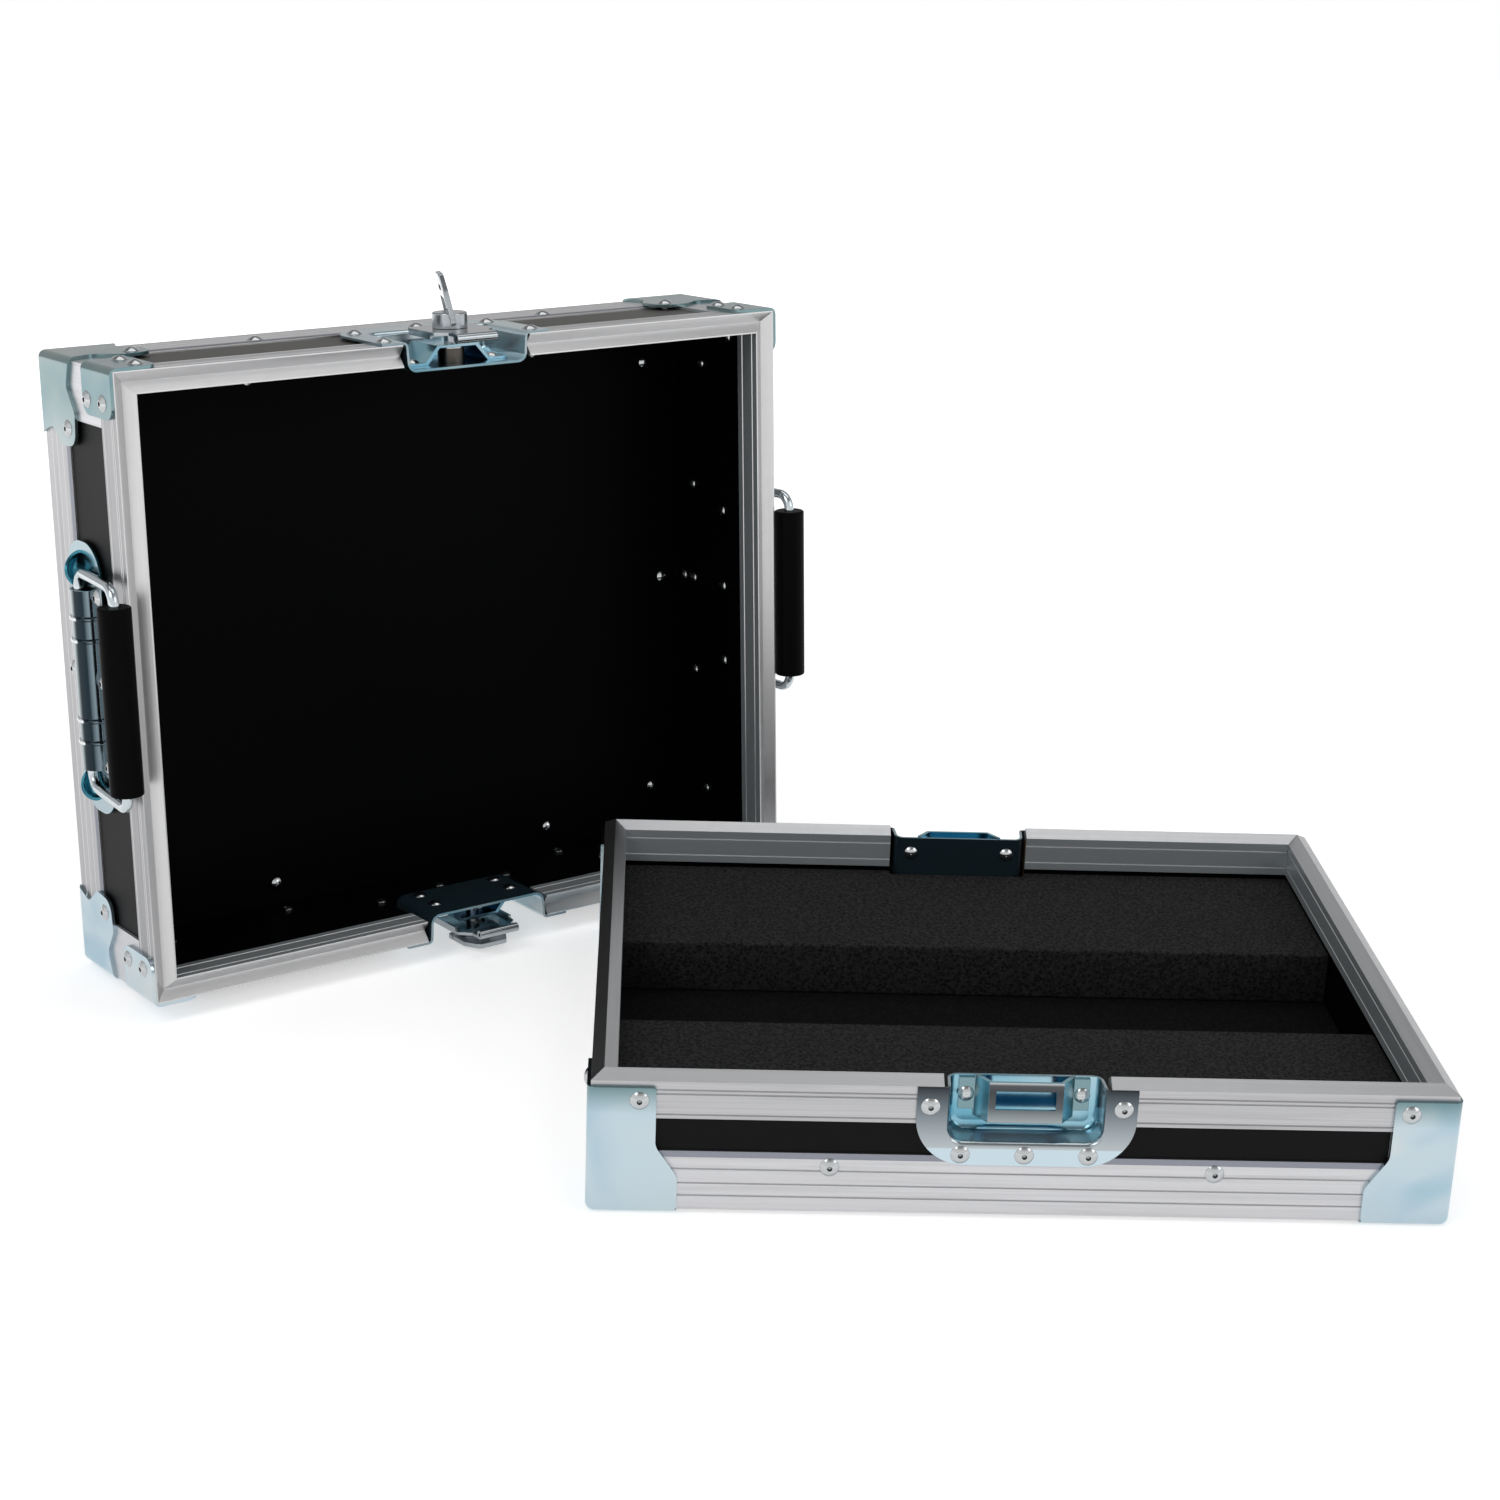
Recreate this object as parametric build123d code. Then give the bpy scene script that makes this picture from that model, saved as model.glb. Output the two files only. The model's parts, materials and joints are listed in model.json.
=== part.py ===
from build123d import *
import os
from math import asin, atan2, cos, degrees, hypot, radians, sin, sqrt, tan

# Flight case for a mixer, in two halves that come fully apart: a shallow base that lies open side up
# with two foam bars in it, and a deeper lid that stands on its long edge behind it, open side forward.
# Millimetres, +Z up. The origin is the bottom centre of the box round both halves.

# Outer sizes of the aluminium
case_width = 440.0
case_depth = 364.0
base_height = 71.4
lid_height = 103.0

# Sheet and board thicknesses
board = 9.4
edge_wall = 1.8
inner_leg_wall = 2.0
brace_wall = 2.0
dish_wall = 1.5
foam_gap = 0.3

# Edge angle along the bottom and back edges, and the plain angle up the corners
edge_leg = 32.6
edge_bevel = 3.2
corner_leg = 33.0
rib_depth = 0.5
rib_width = 1.0
edge_ribs = (7.9, 14.9, 22.9)

# Closing profile round the rim: a ridge on the base, a groove in the lid
rim_leg = 20.5
ridge_height = 4.3
ridge_gap = 0.3
lip_width = 0.8
web = 2.4
rim_ribs = (4.6, 6.9, 18.2)
inner_ribs = (5.0, 15.6)

# Latch opening in the rim and the pressed dishes that fill it
latch_gap = 84.8
dish_inner_width = 78.4
dish_depth = 15.0
dish_draft = 4.0
dish_bend = 4.5
mouth_round = 3.0
keeper_dish_corner = 8.0
latch_dish_corner = 6.0
flange_width = 112.0
keeper_dish_length = 30.5
keeper_flange_length = 43.0
latch_dish_length = 50.0
latch_flange_length = 72.0
flange_corner = 26.0

keeper_dish_rivets = ((49.0, 10.5), ((0, 37.0), (32.6, 37.0)))
latch_dish_rivets = ((49.0, 11.0), ((45.0, 55.5), (0, 62.0)))

# Keeper that the hook catches
keeper_deck_width = 38.0
keeper_foot_width = 9.6
keeper_start = -0.5
keeper_length = 22.5
keeper_rise = 10.0
keeper_slot = (30.8, 10.3)
keeper_slot_start = 4.5
foot_rivet = 29.7
keeper_rivet_row = 10.0

# Latch mechanism, with the hook hauled out and not lifted
bridge_deck_width = 27.0
bridge_foot_width = 13.2
bridge_start = 12.0
bridge_length = 32.0
bridge_rise = 10.9
bridge_rivet_x = 26.6
bridge_rivet_rows = (19.5, 39.0)
hub_from_rim = 20.5
hub_radius = 10.4
hub_height = 9.1
hub_neck_radius = 5.9
spindle_radius = 4.0
collar_radius = 7.6
collar_rest = 1.5
running_gap = 0.05
hook_width = 40.0
hook_sheet = 1.8
hook_flange = 4.0
hook_tail = 36.0
hook_shoulder = 4.0
tongue_width = 26.6
roll_radius = 2.75
roll_bore = 1.1
hook_draw = 4.0
latch_lift = 6.6
upper_turn = 67.0
upper_wing_raised = 102.0
lower_press = 3.65
pin_below_top = 1.9
wing_length = 25.5
wing_width = 30.0
wing_tip = 19.0
wing_shoulder = 15.0
wing_leg = 5.0
wing_sheet = 3.2
wing_slot = (11.0, 3.2, 8.5)
wing_clear = 0.4
wing_pin_radius = 1.3
latch_spring_radius = 8.0
latch_spring_bore = 4.6

# Corner hardware
tall_brace_top = 68.5
tall_brace_leaf = 33.0
tall_brace_foot = 44.5
tall_brace_flare = (19.0, 36.0)
foot_chamfer = 14.0
brace_round = 4.4
tall_brace_rivet = (24.5, 61.4)
lid_brace_reach = 48.5
lid_brace_rivet = 38.5
lid_brace_scallop = 9.0
lid_brace_waist = (15.0, 29.0)
rim_brace_leaf = 27.0
rim_brace_length = 40.0
rim_brace_round = 8.0
rim_brace_rivets = (18.5, (12.5, 34.0))

# Sprung carrying handle on each end of the lid
handle_centre = 58.5
handle_plate = (160.0, 47.0)
handle_sheet = 1.5
barrel_radius = 10.0
barrel_length = 106.0
barrel_bands = ((30.0, 6.5), 1.4)
hood_radius = 12.0
hood_clear = 1.8
pivot_height = 5.0
wire_radius = 3.0
wire_bend = 9.0
bail_half = 63.5
grip_radius = 9.5
grip_length = 108.0
grip_past_rim = 2.5
grip_clear = 0.3
spring_radius = 3.2
spring_bore = 2.4
bail_tail = 14.0
handle_rivets = ((-50.0, 42.0), (0.0, 42.0), (50.0, 42.0), (-63.0, 76.0), (0.0, 76.0), (63.0, 76.0))

# Rivets
rivet_head = 5.0
rivet_head_height = 1.9
rivet_shank = 2.4
rivet_tail = 3.5
rivet_tail_height = 2.4
rivet_recess = 1.4
dome_radius = 4.2
dome_height = 2.0
buried_length = 7.0
edge_rivet_spacing = 196.8
edge_rivet_from_edge = 25.0
short_side_rivet = 15.5
short_back_rivet = 27.5

# Foam
lining = 6.0
bar_top = 50.0
front_bar = 113.0
rear_bar = 122.0

# Where the lid stands, seen from the base's centre: its lower left rim corner and its turn
lid_corner = (-473.4, 29.0)
lid_turn = 33.65

half_w = case_width / 2
half_d = case_depth / 2
rim_width = edge_wall + board + inner_leg_wall
room_w = case_width - 2 * (edge_wall + board)
room_d = case_depth - 2 * (edge_wall + board)
ridge_inset = rim_width / 2
sides = ("front", "rear", "left", "right")
long_sides = ("front", "rear")
keeper_rivets = [(sign * foot_rivet, keeper_rivet_row) for sign in (-1, 1)]
bridge_rivets = [(sign * bridge_rivet_x, row) for sign in (-1, 1) for row in bridge_rivet_rows]
outward = {"front": (0, -1, 0), "rear": (0, 1, 0), "left": (-1, 0, 0), "right": (1, 0, 0)}


def face_plane(side, height):
    """Frame on one face of a tray: X along the rim, Y away from the rim, Z outward."""
    normal = Vector(*outward[side])
    origin = Vector(normal.X * half_w, normal.Y * half_d, height)
    return Plane(origin=origin, x_dir=Vector(0, 0, -1).cross(normal), z_dir=normal).location


def back_plane():
    """Frame on the closed face of a tray, X along the width, Z outward."""
    return Plane(origin=(0, 0, 0), x_dir=(1, 0, 0), z_dir=(0, 0, -1)).location


def corner_places():
    """The four upright edges of a tray: X and Y run inward along the two faces."""
    spots = ((-half_w, -half_d), (half_w, -half_d), (half_w, half_d), (-half_w, half_d))
    return [Pos(x, y, 0) * Rot(0, 0, 90 * turn) for turn, (x, y) in enumerate(spots)]


def prism(points, plane, low, high, rounds=None):
    """Closed outline on a plane, pushed from low to high along its normal, with corner radii by index."""
    outline = make_face(Polyline(*points, close=True))
    if rounds:
        by_radius = {}
        for index, radius in rounds.items():
            by_radius.setdefault(radius, []).append(Vector(*points[index]))
        for radius, spots in by_radius.items():
            near = [v for v in outline.vertices() if min((v.center() - spot).length for spot in spots) < 1e-4]
            outline = fillet(near, radius)
    return plane.offset(low).location * extrude(outline, high - low)


def block(x0, x1, y0, y1, z0, z1):
    return Pos((x0 + x1) / 2, (y0 + y1) / 2, (z0 + z1) / 2) * Box(x1 - x0, y1 - y0, z1 - z0)


def bar(section, length):
    """Straight profile along X from a section in (Y, Z), mitred at both ends like a picture frame."""
    face = Plane.YZ.location * make_face(Polyline(*section, close=True))
    solid = extrude(face, length / 2, both=True)
    reach = 60.0
    top = 5.0
    half = length / 2
    trapezoid = [(-half - top, top), (half + top, top), (half - reach, -reach), (-half + reach, -reach)]
    return solid & prism(trapezoid, Plane.XZ, -200, 200)


def grooved(start, end, level, inward, ribs):
    """Points along a flat stretch of a section with shallow grooves at the given places."""
    sign = 1 if end > start else -1
    points = [(start, level)]
    half = sign * rib_width / 2
    for rib in sorted(ribs, key=lambda place: sign * place):
        points += [(rib - half, level), (rib, level + inward * rib_depth), (rib + half, level)]
    return points + [(end, level)]


def rim_section(ridge):
    """Closing profile: two legs that hold the board, joined by a web with a ridge or a groove."""
    inner = -rim_width
    if ridge:
        roof = [(0, inner), (-ridge_height, -ridge_inset)]
        floor_of_slot = web
    else:
        depth = ridge_height + ridge_gap
        roof = [(0, inner), (0, inner + lip_width), (depth, -ridge_inset), (0, -lip_width)]
        floor_of_slot = depth + web
    outer = grooved(0, rim_leg, 0, -1, rim_ribs)
    inside = grooved(rim_leg, 0, inner, 1, inner_ribs)
    near, far = -edge_wall, -edge_wall - board
    slot = [(rim_leg, near), (floor_of_slot, near), (floor_of_slot, far), (rim_leg, far)]
    return outer + slot + inside[:-1] + roof


def edge_section(height):
    """Angle along a closed edge: one leg up the side, one leg along the bottom or back."""
    top = height - edge_leg
    side = grooved(top + edge_bevel, height, 0, -1, [height - rib for rib in edge_ribs])
    under = [(height, -edge_leg), (height - edge_wall, -edge_leg), (height - edge_wall, -edge_wall)]
    return [(top, -edge_wall)] + [(top, -edge_wall * 0.35)] + side + under


def pierce(solid, drills):
    return solid - drills if drills else solid


def panels(height, long_gap, rivets_at, floor_of_slot):
    """Five boards of a tray: the closed face, then front, rear, left and right."""
    low = edge_wall + board
    x, y = half_w - edge_wall, half_d - edge_wall
    result = {"floor": block(-x, x, -y, y, edge_wall, low)}
    for side in sides:
        long_side = side in long_sides
        half = x if long_side else y - board
        wall = block(-half, half, floor_of_slot, height - low, -edge_wall - board, -edge_wall)
        if long_side:
            wall -= block(-latch_gap / 2, latch_gap / 2, -1, long_gap, -board - edge_wall - 1, 1)
        result[side] = face_plane(side, height) * wall
    return {side: pierce(solid, rivets_at[side]) for side, solid in result.items()}


def edge_profiles(height, rivets_at):
    result = {}
    for side in sides:
        length = case_width if side in long_sides else case_depth
        solid = face_plane(side, height) * bar(edge_section(height), length)
        result[side] = pierce(solid, rivets_at[side] + rivets_at["floor"])
    return result


def rim_profiles(height, ridge, rivets_at):
    """Closing profile on four sides, cut through at the latch on the long ones."""
    result = {}
    for side in sides:
        long_side = side in long_sides
        solid = bar(rim_section(ridge), case_width if long_side else case_depth)
        if long_side:
            solid -= block(-latch_gap / 2, latch_gap / 2, -20, 60, -40, 10)
        result[side] = pierce(face_plane(side, height) * solid, rivets_at[side])
    return result


def corner_profiles(height, drills):
    low, high = edge_leg, height - rim_leg
    t, leg = edge_wall, corner_leg
    corner = [(0, 0), (leg, 0), (leg, t), (t, t), (t, leg), (0, leg)]
    piece = prism(corner, Plane.XY, low, high)
    return [pierce(place * piece, drills) for place in corner_places()]


def leaves(side_outline, side_rounds, foot_outline=None, foot_rounds=None):
    """Bent sheet round one corner: a leaf on each side face, a copy across the diagonal, and a foot."""
    first = prism(side_outline, Plane.XZ, 0, brace_wall, side_rounds)
    second = mirror(first, Plane(origin=(0, 0, 0), z_dir=(1, -1, 0)))
    sheet = first + second
    if foot_outline:
        sheet += prism(foot_outline, Plane.XY, -brace_wall, 0, foot_rounds)
    reach = 150.0
    low = -brace_wall if foot_outline else -reach
    envelope = block(-brace_wall, reach, -brace_wall, reach, low, reach)
    corner = Vector(-brace_wall, -brace_wall, low)
    outer = [e for e in envelope.edges() if min((v.center() - corner).length for v in e.vertices()) < 1e-3]
    if not foot_outline:
        outer = [e for e in outer if abs(e.tangent_at(0).Z) > 0.9]
    return sheet & fillet(outer, brace_round)


def tall_brace():
    """Base corner: narrow above, flaring in an S to a wide foot."""
    t = brace_wall
    narrow, wide = tall_brace_leaf, tall_brace_foot
    flare_low, flare_high = tall_brace_flare
    side = [(-t, -t), (wide, -t), (wide, flare_low), (narrow, flare_high), (narrow, tall_brace_top),
            (-t, tall_brace_top)]
    cut = wide - foot_chamfer
    foot = [(-t, -t), (wide, -t), (wide, cut), (cut, wide), (-t, wide)]
    return leaves(side, {1: 5.0, 2: 9.0, 3: 9.0, 4: 2.0}, foot, {2: 8.0, 3: 8.0})


def lid_brace():
    """Lid back corner: three like leaves, each with a lobe for its rivet and a scallop on both flanks."""
    t = brace_wall
    far = lid_brace_reach
    notch = far - lid_brace_scallop
    first, second = lid_brace_waist
    leaf = [(-t, -t), (far - 3.0, -t), (notch, first), (far + 1.0, second), (far - 1.0, far - 1.0),
            (second, far + 1.0), (first, notch), (-t, far - 3.0)]
    rounds = {2: 6.0, 3: 4.0, 4: 9.0, 5: 4.0, 6: 6.0}
    return leaves(leaf, rounds, leaf, rounds)


def rim_brace(height):
    """Lid rim corner: a short bent strip with a rounded leaf each way."""
    low, high = height - rim_brace_length, height
    leaf = [(-brace_wall, low), (rim_brace_leaf, low), (rim_brace_leaf, high), (-brace_wall, high)]
    return leaves(leaf, {1: rim_brace_round, 2: rim_brace_round})


def tub(width, length, depth, corner, bend):
    """Solid block with the outer shape of a drafted tub that runs out through the rim."""
    run_out, above = 20.0, 3.0
    slope = tan(radians(dish_draft))

    def outline(level):
        half, far = width / 2 + slope * level, length + slope * level
        corners = ((-half, -run_out), (half, -run_out), (half, far), (-half, far))
        return Plane.XY.offset(level) * make_face(Polyline(*corners, close=True))

    body = loft([outline(-depth), outline(above)])
    upright = [e for e in body.edges() if abs(e.tangent_at(0.5).Z) > 0.9 and e.center().Y > length - corner]
    body = fillet(upright, corner)
    floor_edges = [e for e in body.edges() if abs(e.center().Z + depth) < 1e-3]
    return fillet([e for e in floor_edges if e.center().Y > -run_out + 1e-3], bend)


def dish(length, flange_length, corner):
    """Pressed dish: a flange on the face, rolled over into a tub through the wall, open at the rim."""
    t = dish_wall
    half = flange_width / 2
    flange_outline = [(-half, 0), (half, 0), (half, flange_length), (-half, flange_length)]
    flange = prism(flange_outline, Plane.XY, 0, t, {2: flange_corner, 3: flange_corner})
    shell = tub(dish_inner_width + 2 * t, length + t, dish_depth + t, corner + t, dish_bend + t)
    hollow = tub(dish_inner_width, length, dish_depth, corner, dish_bend)
    shell -= block(-half, half, -30, length + 30, 0, 10)
    solid = flange + shell

    def loop(level, reach):
        """Edges at one level round the tub, but not the flange's own."""
        wide = dish_inner_width / 2 + reach
        flat = [e for e in solid.edges() if abs(e.center().Z - level) < 1e-3]
        return [e for e in flat if abs(e.center().X) < wide and 0.5 < e.center().Y < length + reach]

    solid = fillet(loop(0, t + 0.5), mouth_round - t) - hollow - block(-half, half, -30, 0, -40, 10)
    return fillet(loop(t, 0.5), mouth_round)


def foot_drills(places):
    """Holes through a tub's floor for the rivets in a bracket's feet."""
    return [Pos(x, y, -20) * Cylinder(rivet_shank, 20) for x, y in places]


def foot_heads(places):
    return [Pos(x, y, -dish_depth + dish_wall) * dome_rivet(2 * dish_wall) for x, y in places]


def hat(deck_width, foot_width, foot_spread, rise, start, length):
    """Bent bracket: flat deck, sloping sides and a foot each side on the tub's floor."""
    sheet = dish_wall
    floor_level = -dish_depth
    top = floor_level + rise
    inner, toe = foot_spread, foot_spread + foot_width
    d = deck_width / 2
    right = [(d, top), (inner + sheet, floor_level + sheet), (toe, floor_level + sheet), (toe, floor_level),
             (inner, floor_level), (d - sheet, top - sheet)]
    section = right + [(-x, z) for x, z in reversed(right)]
    return prism(section, Plane.XZ, -start - length, -start)


def keeper():
    """Strike plate: the hook's roll drops through its slot and bears on the bar at its top."""
    spread = foot_rivet - dome_radius - dish_wall - 0.1
    body = hat(keeper_deck_width, keeper_foot_width, spread, keeper_rise, keeper_start, keeper_length)
    slot_w, slot_l = keeper_slot
    body -= block(-slot_w / 2, slot_w / 2, keeper_slot_start, keeper_slot_start + slot_l, -9, 0)
    end = keeper_start + keeper_length
    for sign in (-1, 1):
        x0, x1 = sorted((sign * (spread + dish_wall + 0.3), sign * 60))
        body -= block(x0, x1, end - 3.5, end + 1, -20, -dish_depth + dish_wall + 0.01)
        body -= block(x0, x1, keeper_start - 1, 1.0, -20, -dish_depth + dish_wall + 0.01)
    return body - foot_drills(keeper_rivets)


def latch_bridge():
    """Fixed bracket in the latch tub that guides the spindle."""
    spread = bridge_rivet_x - bridge_foot_width / 2
    body = hat(bridge_deck_width, bridge_foot_width, spread, bridge_rise, bridge_start, bridge_length)
    body -= Pos(0, hub_from_rim, -5) * Cylinder(spindle_radius + running_gap, 12)
    return body - foot_drills(bridge_rivets)


bridge_top = -dish_depth + bridge_rise
hook_under = bridge_top + 0.5
hook_top = hook_under + hook_sheet
hub_under = hook_top + 0.2
hub_top = hub_under + hub_height
pin_level = hub_top - pin_below_top
collar_under = -dish_depth + collar_rest


def latch_spindle():
    """Post that rises and falls in the bridge, with a collar that its spring lifts against the bridge."""
    low = -dish_depth + 0.3
    high = hub_under + 3.0
    collar_top = bridge_top - dish_wall - latch_lift - 0.1
    post = Pos(0, hub_from_rim, (low + high) / 2) * Cylinder(spindle_radius, high - low)
    middle = (collar_under + collar_top) / 2
    return post + Pos(0, hub_from_rim, middle) * Cylinder(collar_radius, collar_top - collar_under)


def latch_hub():
    """Turning hub: a neck through the hook and a round head that carries the wing's cross pin."""
    neck_low = bridge_top + 0.2
    centre = Pos(0, hub_from_rim, 0)
    head = centre * Pos(0, 0, (hub_under + hub_top) / 2) * Cylinder(hub_radius, hub_height)
    head = fillet([e for e in head.edges() if abs(e.center().Z - hub_top) < 1e-3], 1.0)
    neck = centre * Pos(0, 0, (neck_low + hub_under) / 2) * Cylinder(hub_neck_radius, hub_under - neck_low)
    bore_top = hub_under + 3.1
    bore = Cylinder(spindle_radius + running_gap, bore_top - neck_low + 0.1)
    bore = centre * Pos(0, 0, (neck_low + bore_top - 0.1) / 2) * bore
    pin_bore = centre * Pos(0, 0, pin_level) * Rot(0, 90, 0) * Cylinder(wing_pin_radius + running_gap, 30)
    return head + neck - bore - pin_bore


def latch_wing():
    """Butterfly: a flat tapered plate whose two legs straddle the hub, with a cross pin, folded forward."""
    lobe, tip, end = wing_width / 2, wing_tip / 2, wing_leg
    inside = hub_radius + wing_clear
    clear = hypot(hub_radius, pin_below_top) + wing_clear
    outline = [(-lobe, end), (-lobe, -wing_shoulder), (-tip, -wing_length), (tip, -wing_length),
               (lobe, -wing_shoulder), (lobe, end), (inside, end), (inside, -clear), (-inside, -clear),
               (-inside, end)]
    rounds = {1: 8.0, 2: 3.0, 3: 3.0, 4: 8.0, 7: 2.0, 8: 2.0, 0: 1.6, 5: 1.6, 6: 1.6, 9: 1.6}
    plate = prism(outline, Plane.XY, -wing_sheet / 2, wing_sheet / 2, rounds)
    slot_w, slot_l, slot_from_tip = wing_slot
    plate -= Pos(0, slot_from_tip - wing_length, 0) * Box(slot_w, slot_l, 10)
    faces = plate.faces().filter_by(Axis.Z)
    plate = fillet([e for face in faces for e in face.outer_wire().edges()], 0.5)
    pin = Rot(0, 90, 0) * Cylinder(wing_pin_radius, wing_width + 0.8)
    return Pos(0, hub_from_rim, pin_level) * (plate + pin)


def latch_hook():
    """Hook plate: turned-down sides, a slot round the hub's neck, and a tongue that ends in a roll."""
    half = hook_width / 2
    tongue = tongue_width / 2
    roll_centre = hook_top - roll_radius
    front = -(keeper_slot_start + roll_radius + hook_draw)
    taper = hook_shoulder - 7.0
    outline = [(-half, hook_tail), (-half, hook_shoulder), (-tongue, taper), (-tongue, front),
               (tongue, front), (tongue, taper), (half, hook_shoulder), (half, hook_tail)]
    plate = prism(outline, Plane.XY, hook_under, hook_top, {0: 3.0, 7: 3.0, 1: 3.0, 6: 3.0})
    for sign in (-1, 1):
        x0, x1 = sorted((sign * half, sign * (half - hook_sheet)))
        plate += block(x0, x1, hook_shoulder + 3.0, hook_tail - 3.0, hook_top - hook_flange, hook_top - 0.5)
    roll = Pos(0, front, roll_centre) * Rot(0, 90, 0) * Cylinder(roll_radius, tongue_width)
    roll -= Pos(0, front, roll_centre) * Rot(0, 90, 0) * Cylinder(roll_bore, tongue_width + 1)
    gap = hub_neck_radius + 0.3
    slot = block(-gap, gap, hub_from_rim - hook_draw, hub_from_rim, hook_under - 1, hook_top + 1)
    slot += Pos(0, hub_from_rim, hook_under) * Cylinder(gap, 10)
    slot += Pos(0, hub_from_rim - hook_draw, hook_under) * Cylinder(gap, 10)
    return plate + roll - slot


def latch_spring(out):
    """Sleeve for the conical spring between the tub's floor and the collar, with the latch out this far."""
    low, high = -dish_depth, collar_under + out - 0.1
    place = Pos(0, hub_from_rim, (low + high) / 2)
    return place * (Cylinder(latch_spring_radius, high - low) - Cylinder(latch_spring_bore, high - low + 1))


def handle_plate_body():
    """Pressed plate with a half-round barrel along its middle that holds the bail's ends."""
    length, width = handle_plate
    half_l, half_wd = length / 2, width / 2
    low, high = handle_centre - half_wd, handle_centre + half_wd
    corner = half_wd - 3.0
    outline = [(-half_l, low), (half_l, low), (half_l, high), (-half_l, high)]
    plate = prism(outline, Plane.XY, 0, handle_sheet, {0: corner, 1: corner, 2: corner, 3: corner})
    across = Pos(0, handle_centre, 0) * Rot(0, 90, 0)
    outer = across * Cylinder(barrel_radius, barrel_length)
    inner = across * Cylinder(barrel_radius - handle_sheet, barrel_length + 1)
    below = block(-90, 90, low - 5, high + 5, -30, 0)
    body = plate + (outer - below)
    (middle, apart), band_radius = barrel_bands
    for place in (-middle - apart, -middle + apart, middle - apart, middle + apart):
        body += Pos(place, 0, 0) * across * Torus(barrel_radius, band_radius) - below
    start = barrel_length / 2
    behind = handle_centre + wire_radius + hood_clear
    for sign in (-1, 1):
        x0, x1 = sorted((sign * start, sign * 80))
        room = block(x0, x1, behind, high + 5, handle_sheet / 2, 30)
        bowl = Sphere(hood_radius) - Sphere(hood_radius - handle_sheet)
        body += Pos(sign * bail_half, handle_centre, 0) * bowl & room
    body -= inner
    drills = [Pos(a, s, -10) * Cylinder(rivet_shank, 30) for a, s in handle_rivets]
    return body - drills


def bail_wire():
    """Round wire bail: two ends in the barrel, two arms, and the bar through the grip."""
    grip_s = -grip_past_rim
    grip_n = grip_radius + grip_clear
    tail = bail_half - bail_tail
    pivot = (handle_centre, pivot_height)
    corners = [(-tail, *pivot), (-bail_half, *pivot), (-bail_half, grip_s, grip_n),
               (bail_half, grip_s, grip_n), (bail_half, *pivot), (tail, *pivot)]
    path = FilletPolyline(*corners, radius=wire_bend)
    start = Plane(origin=corners[0], z_dir=(-1, 0, 0))
    return sweep(start * Circle(wire_radius), path=path)


def handle_grip():
    grip = Cylinder(grip_radius, grip_length)
    grip = fillet(grip.edges().filter_by(GeomType.CIRCLE), 1.2)
    grip -= Cylinder(wire_radius + running_gap, grip_length + 2)
    return Pos(0, -grip_past_rim, grip_radius + grip_clear) * Rot(0, 90, 0) * grip


def handle_spring():
    """Return spring in the barrel, from one end of the bail to the other."""
    length = 2 * (bail_half - bail_tail - 0.2)
    place = Pos(0, handle_centre, pivot_height) * Rot(0, 90, 0)
    return place * (Cylinder(spring_radius, length) - Cylinder(spring_bore, length + 1))


def round_cap(start, end):
    """Arc in (r, z) whose centre lies on the Z axis, so it turns into part of a sphere."""
    centre = (end[0] ** 2 + end[1] ** 2 - start[0] ** 2 - start[1] ** 2) / (2 * (end[1] - start[1]))
    radius = hypot(end[0], end[1] - centre)
    angle = (atan2(start[0], start[1] - centre) + atan2(end[0], end[1] - centre)) / 2
    return ThreePointArc(start, (radius * sin(angle), centre + radius * cos(angle)), end)


def turned(*lines):
    return revolve(Plane.XZ.location * make_face(Curve() + list(lines)), axis=Axis.Z)


def blind_rivet(stack, through):
    """Blind rivet on Z: domed head with a recess, a shank, and a bulb behind if it comes through."""
    h, t, s = rivet_head, rivet_tail, rivet_shank
    top, bulb, sunk = rivet_head_height, -stack - rivet_tail_height, rivet_head_height - 1.3
    lip = rivet_recess + 0.5
    head = [
        Polyline((0, sunk), (rivet_recess, sunk), (rivet_recess, top), (lip, top)),
        round_cap((lip, top), (h, 0)),
    ]
    if not through:
        return turned(*head, Polyline((h, 0), (s, 0), (s, -stack), (0, -stack), (0, sunk)))
    return turned(
        *head,
        Polyline((h, 0), (s, 0), (s, -stack), (t, -stack), (t, -stack - 1.0)),
        round_cap((t, -stack - 1.0), (0, bulb)),
        Line((0, bulb), (0, sunk)),
    )


def dome_rivet(stack):
    """Solid rivet with a low dome on each side of a stack."""
    r, h, shank = dome_radius, dome_height, rivet_shank
    return turned(
        round_cap((0, h), (r, 0)),
        Polyline((r, 0), (shank, 0), (shank, -stack), (r, -stack)),
        round_cap((r, -stack), (0, -stack - h)),
        Line((0, -stack - h), (0, h)),
    )


def mirrored_pairs(rows):
    return [(sign * a, s, n, stack) for a, s, n, stack in rows for sign in ((-1, 1) if a else (1,))]


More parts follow.
